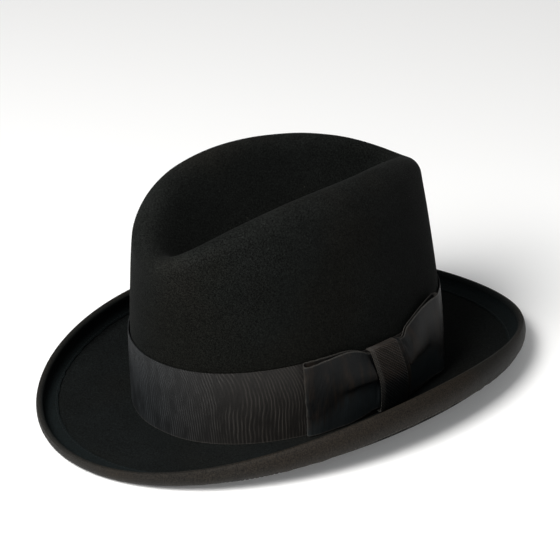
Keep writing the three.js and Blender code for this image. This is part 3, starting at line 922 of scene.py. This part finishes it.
def binding_sheet(rim):
    """The ribbon round the brim's edge: its outer leg, a half round of a radius, its inner leg."""
    ribbon = settings("ribbon")
    outer_end = 0.4
    inner_start = 0.6

    def lift(distance, leg):
        """Height of the ribbon's face off the felt, with its sewn edge drawn down."""
        drawn = smooth(distance, leg * 0.45, leg)
        return mix(ribbon.ribbon_build, ribbon.leg_end_build, drawn)

    def place(along, across):
        angle = along * TURN
        section = BrimSection(angle)
        ripple = np.sin(angle * 61 + 2.5 * np.sin(angle * 7)) * np.sin(angle * 17 + 1.0)
        puckers = ribbon.pucker * ripple
        outer_leg = ribbon.binding_outer * (1 + 0.012 * ripple)
        inner_leg = ribbon.binding_inner * (1 + 0.02 * ripple)
        outward = np.clip(1 - across / outer_end, 0, 1)
        inward = np.clip((across - inner_start) / (1 - inner_start), 0, 1)
        outer_lift = lift(outward * outer_leg, outer_leg) + puckers * outward ** 2
        outer = section.point(outward * outer_leg, 1, outer_lift)
        inner_lift = lift(inward * inner_leg, inner_leg) - puckers * inward ** 2
        inner = section.point(inward * inner_leg, -1, inner_lift)
        rounded = np.clip((across - outer_end) / (inner_start - outer_end), 0, 1)
        turn = math.pi * (0.5 - rounded)
        reach = ribbon.ribbon_build - rim + rim * np.cos(turn)
        edge = section.past_edge(section.radius - rim + rim * np.sin(turn), reach)
        points = np.where(across <= outer_end, outer, edge)
        points = np.where(across >= inner_start, inner, points)
        points[2] = np.maximum(points[2], 0)
        return points

    def worn(along, across):
        """A faint worn line along the brim's edge."""
        return 0.12 * (1 - smooth(np.abs(across - 0.58), 0.01, 0.04))

    return sheet("binding", 672, 50, place, worn)


def one_stitch():
    """The points of one stitch, which runs along its first axis, and its faces."""
    ribbon = settings("ribbon")
    deselect()
    bpy.ops.mesh.primitive_uv_sphere_add(segments=6, ring_count=6, radius=0.5)
    ball = bpy.context.active_object
    shape = read_points(ball)[[2, 0, 1]]
    faces = [tuple(face.vertices) for face in ball.data.polygons]
    bpy.data.objects.remove(ball)
    thread = ribbon.stitch_thickness
    return shape * np.array([[ribbon.stitch_length], [thread * 1.3], [thread]]), faces


def stitch_angles(face, distance):
    """The angles round the hat of a row of stitches, at an even pitch along the brim."""
    fine = np.linspace(0, TURN, 2001)
    track = BrimSection(fine).point(np.full_like(fine, distance), face, 0)
    so_far = walked(np.linalg.norm(np.diff(track, axis=1), axis=0))
    count = round(so_far[-1] / settings("ribbon").stitch_pitch)
    return np.interp(np.arange(count) / count * so_far[-1], so_far, fine)


def unit(vectors):
    """Vectors of length 1, from a row for each axis."""
    return vectors / np.linalg.norm(vectors, axis=0)


def stitch_row(name, shape, faces, face, leg, thread):
    """A row of stitches near one sewn edge of the binding, copied from one stitch."""
    ribbon = settings("ribbon")
    angles = stitch_angles(face, leg - ribbon.stitch_inset)
    distance = np.full_like(angles, leg - ribbon.stitch_inset)
    lift = ribbon.leg_end_build + ribbon.stitch_thickness * 0.15
    section = BrimSection(angles)
    middle = section.point(distance, face, lift)
    ahead = BrimSection(angles + 0.002).point(distance, face, lift)
    off = section.point(distance, face, lift + 0.001)
    middle[2] = np.maximum(middle[2], ribbon.stitch_thickness * 0.3)
    tangent = unit(ahead - middle)
    normal = unit(off - middle)
    side = np.cross(normal.T, tangent.T).T
    vertices = []
    all_faces = []
    for index in range(len(angles)):
        base = len(vertices)
        turned = (middle[:, index, None] + tangent[:, index, None] * shape[0]
                  + side[:, index, None] * shape[1] + normal[:, index, None] * shape[2])
        turned[2] = np.maximum(turned[2], 0)
        vertices.extend(map(tuple, turned.T))
        all_faces.extend(tuple(base + corner for corner in corners) for corners in faces)
    mesh = bpy.data.meshes.new(name)
    mesh.from_pydata(vertices, [], all_faces)
    piece = bpy.data.objects.new(name, mesh)
    bpy.context.collection.objects.link(piece)
    dress(piece, None, thread_material(name.replace("_", " "), thread))


class HAT_OT_brim_binding(bpy.types.Operator):
    """Make the ribbon folded over the brim's edge, with its stitches"""
    bl_idname = "hat.brim_binding"
    bl_label = "Brim Binding"

    def execute(self, context):
        ribbon = settings("ribbon")
        finish = settings("finish")
        rim = (settings("shape").felt_thickness + 2 * ribbon.ribbon_build) / 2
        piece = binding_sheet(rim)
        close_seam(piece)
        thicken(piece, ribbon.ribbon_thickness, -1)
        width = ribbon.binding_outer + ribbon.binding_inner + math.pi * rim
        dress(piece, "brim_binding", ribbon_material(
            "Binding ribbon", "binding", width, ribbon.rib_pitch, rib_shade=0.12, roughness=0.6,
            specular=0.15, speck=5.0, selvedge=0.12))
        shape, faces = one_stitch()
        stitch_row("binding_stitches", shape, faces, 1, ribbon.binding_outer, finish.thread)
        # The inner row's darker thread is painted shade
        stitch_row("binding_inner_stitches", shape, faces, -1, ribbon.binding_inner,
                   finish.thread_inside_painted_shade)
        return {"FINISHED"}


# The band and the bow

def held_lengths():
    """How far the knot's turns of ribbon hold the front and the rear loop."""
    bow = settings("bow")
    front = bow.knot_width / 2 + 0.0003
    return front, front + bow.knot_lean + bow.underwrap_step


def band_foot(angle):
    """Height of the band's lower edge."""
    return foot_top(angle) + settings("ribbon").band_gap


def band_top(along):
    """Height of the band over its lower edge, drawn in under the knot."""
    ribbon = settings("ribbon")
    front, rear = held_lengths()
    past = np.where(along > 0, along - rear, -along - front)
    drawn = 1 - smooth(past, 0, settings("bow").front_gather)
    return ribbon.band_height * (1 - ribbon.band_dip * drawn)


class HAT_OT_hat_band(bpy.types.Operator):
    """Make the ribbon band round the crown"""
    bl_idname = "hat.hat_band"
    bl_label = "Hat Band"

    def execute(self, context):
        ribbon = settings("ribbon")
        bow = settings("bow")
        slack = 0.00012

        def place(along, across):
            turned = np.where(along > 0.5, along - 1, along) * 2 * math.pi
            angle = bow.bow_angle + along * 2 * math.pi
            top = band_top(turned * settings("shape").head_length / 2)
            height = band_foot(angle) + across * top
            ease = slack * np.sin(angle * 9 + 3 * across) * np.sin(angle * 4)
            x, y, _ = wall_point(angle, height, ribbon.ribbon_build + ease)
            return np.stack([x, y, height])

        piece = sheet("band", 360, 24, place)
        close_seam(piece)
        thicken(piece, ribbon.ribbon_thickness, -1)
        dress(piece, "hat_band", ribbon_material(
            "Band ribbon", "band", ribbon.band_height, ribbon.rib_pitch, watering=1.6,
            rib_shade=0.25, roughness=0.5, specular=0.27, selvedge=0.5))
        return {"FINISHED"}


def bow_point(along, up, out):
    """A point over the band: along it from the knot, up from its foot, and out from its face."""
    angle = settings("bow").bow_angle + along / (settings("shape").head_length / 2)
    height = band_foot(angle) + up
    x, y, _ = wall_point(angle, height, settings("ribbon").ribbon_build + out)
    return np.stack([x, y, height])


def section_line(table, reach):
    """A smooth line through a section's points: shares of its length, its heights and outs."""
    fine = np.linspace(0, len(table["height"]) - 1, 401)
    places = np.arange(len(table["height"]))
    line = np.stack([np.interp(fine, places, table[column]) for column in ("height", "out")])
    relax(line, 120)
    tall = np.diff(line[0]) * settings("ribbon").band_height
    so_far = walked(np.hypot(tall, np.diff(line[1]) * reach))
    return so_far / so_far[-1], line[0], line[1]


def loop_sheet(name, side, reach, held, gather, quick, end_edges, pleat_length, edge_sag, opens):
    """A loop of the bow: out along the band, round its fold and back under the knot.

    side is -1 ahead of the knot and 1 behind it. The knot holds the loop up to held. It widens to
    end_edges within gather, a share of that, quick, at once, and opens past opens.
    """
    bow = settings("bow")
    ribbon = settings("ribbon")
    fold = (bow.loop_opening + 0.001) / 2
    tip = reach - fold - 0.0005
    straight = np.linspace(bow.loop_start, tip, LAYER_POINTS)
    bend = np.linspace(-math.pi / 2, math.pi / 2, FOLD_POINTS + 2)[1:-1]
    opened = smooth(straight[::-1], opens, tip)
    outer_layer = mix(bow.outer_layer, bow.inner_layer + 2 * fold, opened)
    line_along = np.concatenate([straight, tip + fold * np.cos(bend), straight[::-1]])
    line_out = np.concatenate([
        np.full(LAYER_POINTS, bow.inner_layer), bow.inner_layer + fold * (1 + np.sin(bend)),
        outer_layer])
    on_top = np.concatenate([
        np.zeros(LAYER_POINTS), (1 + np.sin(bend)) / 2, np.ones(LAYER_POINTS)])
    so_far = walked(np.hypot(np.diff(line_along), np.diff(line_out)))
    shares = so_far / so_far[-1]
    fold_middle = (so_far[LAYER_POINTS - 1] + so_far[LAYER_POINTS + FOLD_POINTS]) / 2
    pleat_share, pleat_height, pleat_out = section_line(PLEAT, bow.pleat_height)
    bend_share, _, bend_out = section_line(KNOT_BEND, bow.pleat_height)

    def place(along, across):
        length_along = np.interp(along, shares, line_along)
        base = np.interp(along, shares, line_out)
        outer = np.interp(along, shares, on_top)
        past = np.clip(length_along - held, 0, None)
        arch = np.sin(math.pi * across)
        # Where the loop comes free of the knot's slanted edge
        behind = bow.underwrap_step if side > 0 else 0
        edge = bow.knot_width / 2 + behind + side * bow.knot_lean * (1 - across ** 2)
        free = smooth(length_along, edge - 0.001, edge + 0.0015)
        # The pleat, which fades out along the loop
        fade = 1 - smooth(past, 0, pleat_length)
        raised = PLEAT_ARCH * arch * (1 - smooth(past, 0, 0.020))
        pleated = np.interp(across, pleat_share, pleat_height) + raised
        folded_up = mix(across, pleated, fade * free * outer)
        held_out = HELD_BULGE * np.interp(across, bend_share, bend_out)
        belly = LOOP_BELLY * (1 - smooth(past, 0, tip - held)) * arch * free
        pleat = bow.pleat_height * fade * np.interp(across, pleat_share, pleat_out) + belly
        # Slack in the cloth, and a wavy fold at its end
        near_fold = smooth(length_along, tip - 0.008, tip)
        wave = (0.0005 * wander_along(across * 0.05, 0.007, 5.0)
                + 0.00025 * wander_along(across * 0.05, 0.0025, 9.0)) * near_fold
        slack = LOOP_SLACK * np.sin(past * 190 + 5 * across) * outer * smooth(past, 0.012, 0.03)
        out = base + outer * mix(held_out, pleat, free) + slack * (1 - near_fold)
        # The lower and upper edges, which widen from the knot to the fold
        eased = 1 - (1 - np.clip(past / gather, 0, 1)) ** 2
        spread = mix(eased, smooth(past, 0, 0.004), quick)
        sag = edge_sag * outer * smooth(length_along, 0.028, tip)
        lower = mix(KNOT_EDGES[0], end_edges[0], spread)
        upper = mix(KNOT_EDGES[1], end_edges[1], spread) - sag
        fray = FRAYED_EDGE * wander_along(length_along, 0.0022, 2.0 + side)
        up = ribbon.band_height * mix(lower, upper, folded_up) + fray * smooth(across, 0.97, 1)
        return bow_point(side * (length_along + wave), up, out)

    def worn(along, across):
        """Worn patches along the fold at the loop's end."""
        distance = np.abs(along * so_far[-1] - fold_middle)
        patches = wander_along(across * 0.05, 0.0035, 4.0)
        return (0.6 + 0.35 * patches) * (1 - smooth(distance, 0.0006, 0.0017 + 0.0006 * patches))

    piece = sheet(name, 190, 72, place, worn)
    thicken(piece, ribbon.ribbon_thickness, 0)
    return piece


def wrap_sheet(name, clearance, shift):
    """A turn of ribbon over the middle of the bow."""
    bow = settings("bow")
    ribbon = settings("ribbon")
    off = clearance + 0.0005
    low = ribbon.band_height * KNOT_EDGES[0] - off
    high = ribbon.band_height * KNOT_EDGES[1] + off
    face = bow.loop_face + off
    _, rise, bulge = section_line(KNOT_BEND, bow.knot_bulge)
    side_out = np.linspace(0.0003, face, SIDE_POINTS)
    line_out = np.concatenate([side_out[:-1], face + bow.knot_bulge * bulge, np.linspace(
        face, 0.0003, SIDE_POINTS)[1:]])
    line_up = np.concatenate([
        np.full(SIDE_POINTS - 1, low), mix(low, high, rise), np.full(SIDE_POINTS - 1, high)])
    relax(line_out, 60)
    relax(line_up, 60)
    so_far = walked(np.hypot(np.diff(line_out), np.diff(line_up)))
    shares = so_far / so_far[-1]

    def place(along, across):
        up = np.interp(along, shares, line_up)
        out = np.interp(along, shares, line_out)
        climb = np.clip((up - low) / (high - low), 0, 1)
        lean = bow.knot_lean * (1 - climb ** 2)
        belly = KNOT_BELLY * (1 - (2 * across - 1) ** 2) * np.sin(math.pi * climb)
        return bow_point(shift + lean + (0.5 - across) * bow.knot_width, up, out + belly)

    piece = sheet(name, 90, 24, place)
    thicken(piece, ribbon.ribbon_thickness, 0)
    return piece


class HAT_OT_bow(bpy.types.Operator):
    """Make the flat bow: two loops, the lower turn and the knot"""
    bl_idname = "hat.bow"
    bl_label = "Bow"

    def execute(self, context):
        bow = settings("bow")
        ribbon = settings("ribbon")
        front_held, rear_held = held_lengths()
        gathered = ribbon.band_height * (KNOT_EDGES[1] - KNOT_EDGES[0])
        loop_cloth = ribbon_material(
            "Bow ribbon", "bow", gathered, ribbon.rib_pitch, rib_shade=0.15, roughness=0.5,
            specular=0.17, selvedge=0.7)
        under_cloth = ribbon_material(
            "Lower turn ribbon", "lower turn", bow.knot_width, ribbon.rib_pitch, rib_shade=0.3,
            specular=0.15, selvedge=0.4)
        knot_cloth = ribbon_material(
            "Knot ribbon", "knot", bow.knot_width, ribbon.knot_rib_pitch, lean=-1.1,
            rib_shade=2.6, rib_height=0.0005)
        front = loop_sheet(
            "front_loop", -1, bow.front_reach, front_held, bow.front_gather, quick=0.0,
            end_edges=FRONT_END_EDGES, pleat_length=bow.front_pleat, edge_sag=0.03,
            opens=front_held)
        dress(front, "bow_front_loop", loop_cloth)
        rear = loop_sheet(
            "rear_loop", 1, bow.rear_reach, rear_held, bow.rear_gather, quick=0.25,
            end_edges=REAR_END_EDGES, pleat_length=bow.rear_pleat, edge_sag=0.0,
            opens=rear_held + 0.018)
        dress(rear, "bow_rear_loop", loop_cloth)
        under = wrap_sheet("underwrap", bow.underwrap_clearance, bow.underwrap_step)
        dress(under, "bow_underwrap", under_cloth)
        knot = wrap_sheet("knot", bow.knot_clearance, 0)
        dress(knot, "bow_knot", knot_cloth)
        return {"FINISHED"}


# The stage

def make_floor(stage):
    """A plain pale floor that gives off a little light."""
    deselect()
    bpy.ops.mesh.primitive_plane_add(size=8)
    floor = bpy.context.active_object
    floor.name = "floor"
    material, _, shader = new_material("Pale floor", 1.0, 0.0)
    shader.inputs["Base Color"].default_value = rgba(stage.floor)
    shader.inputs["Emission Color"].default_value = rgba(stage.floor)
    shader.inputs["Emission Strength"].default_value = stage.floor_glow
    floor.data.materials.append(material)


def make_sky(stage):
    """Light from all round, stronger from the front."""
    world = bpy.data.worlds.new("Even light")
    world.use_nodes = True
    net = Net(world.node_tree)
    direction = net.add("ShaderNodeTexCoord").outputs["Generated"]
    ahead = net.add(
        "ShaderNodeVectorMath", {0: direction, 1: SKY_DIRECTION}, operation="DOT_PRODUCT")
    evenness = net.ramp(ahead.outputs["Value"], -0.8, 0.8, 0.4, 1.6)
    sky = world.node_tree.nodes["Background"]
    sky.inputs["Color"].default_value = (1.0, 1.0, 1.0, 1.0)
    net.link(net.times(evenness, stage.sky), sky.inputs["Strength"])
    bpy.context.scene.world = world


def make_lamp(name, power, place, size, tint):
    """A square lamp that shines at the hat."""
    bpy.ops.object.light_add(type="AREA", location=place)
    lamp = bpy.context.active_object
    lamp.name = name
    lamp.data.size = size
    lamp.data.energy = power
    lamp.data.color = tint
    aim = Vector(LAMP_AIM) - Vector(place)
    lamp.rotation_euler = aim.to_track_quat("-Z", "Y").to_euler()


def make_camera(stage):
    """The camera at the photograph's angle."""
    yaw, pitch, roll = (math.radians(value) for value in CAMERA_TURNS)

    def back(azimuth, elevation):
        """The direction from the hat to a camera at these angles."""
        flat = math.cos(elevation)
        return Vector((math.sin(azimuth) * flat, -math.cos(azimuth) * flat, math.sin(elevation)))

    offset = back(stage.camera_azimuth, stage.camera_elevation) * stage.camera_distance
    behind = back(stage.camera_azimuth + yaw, stage.camera_elevation + pitch)
    level = Vector((0, 0, 1)).cross(behind).normalized()
    upright = behind.cross(level)
    right = level * math.cos(roll) + upright * math.sin(roll)
    up = upright * math.cos(roll) - level * math.sin(roll)
    data = bpy.data.cameras.new("camera")
    data.sensor_width = SENSOR_WIDTH
    data.lens = FOCAL_PIXELS / PHOTO_PIXELS * SENSOR_WIDTH
    camera = bpy.data.objects.new("camera", data)
    bpy.context.collection.objects.link(camera)
    turn = Matrix((right, up, behind)).transposed().to_4x4()
    camera.matrix_world = Matrix.Translation(Vector(CAMERA_AIM) + offset) @ turn
    bpy.context.scene.camera = camera


class HAT_OT_stage(bpy.types.Operator):
    """Make the floor, the lights and the camera"""
    bl_idname = "hat.stage"
    bl_label = "Stage"

    def execute(self, context):
        stage = settings("stage")
        make_floor(stage)
        make_sky(stage)
        make_lamp("key_lamp", stage.key, *LAMPS["key"])
        make_lamp("window_lamp", stage.window, *LAMPS["window"])
        make_lamp("fill_lamp", stage.fill, *LAMPS["fill"])
        make_camera(stage)
        context.scene.view_settings.view_transform = "Standard"
        return {"FINISHED"}


# The add-on

GROUPS = {
    "shape": HatShape,
    "ribbon": HatRibbon,
    "bow": HatBow,
    "finish": HatFinish,
    "stage": HatStage,
}
OPERATORS = (
    HAT_OT_felt_body, HAT_OT_brim_binding, HAT_OT_hat_band, HAT_OT_bow, HAT_OT_stage)


class HAT_PT_panel(bpy.types.Panel):
    """Lists the hat's pieces and their settings"""
    bl_idname = "HAT_PT_panel"
    bl_label = "Homburg Hat"
    bl_space_type = "VIEW_3D"
    bl_region_type = "UI"
    bl_category = "Hat"

    def draw(self, context):
        for operator in OPERATORS:
            self.layout.operator(operator.bl_idname)
        for name, group in GROUPS.items():
            box = self.layout.box()
            box.label(text=group.__doc__)
            for key in group.__annotations__:
                box.prop(getattr(context.scene, "hat_" + name), key)


def register():
    for name, group in GROUPS.items():
        bpy.utils.register_class(group)
        setattr(bpy.types.Scene, "hat_" + name, bpy.props.PointerProperty(type=group))
    for cls in (*OPERATORS, HAT_PT_panel):
        bpy.utils.register_class(cls)


def unregister():
    for cls in reversed((*OPERATORS, HAT_PT_panel)):
        bpy.utils.unregister_class(cls)
    for name, group in reversed(GROUPS.items()):
        delattr(bpy.types.Scene, "hat_" + name)
        bpy.utils.unregister_class(group)


def main():
    register()
    make_ribs_group()
    make_watering_group()
    make_wear_group()
    make_lint_group()
    bpy.ops.hat.felt_body()
    bpy.ops.hat.brim_binding()
    bpy.ops.hat.hat_band()
    bpy.ops.hat.bow()
    bpy.ops.hat.stage()


if __name__ == "__main__":
    main()
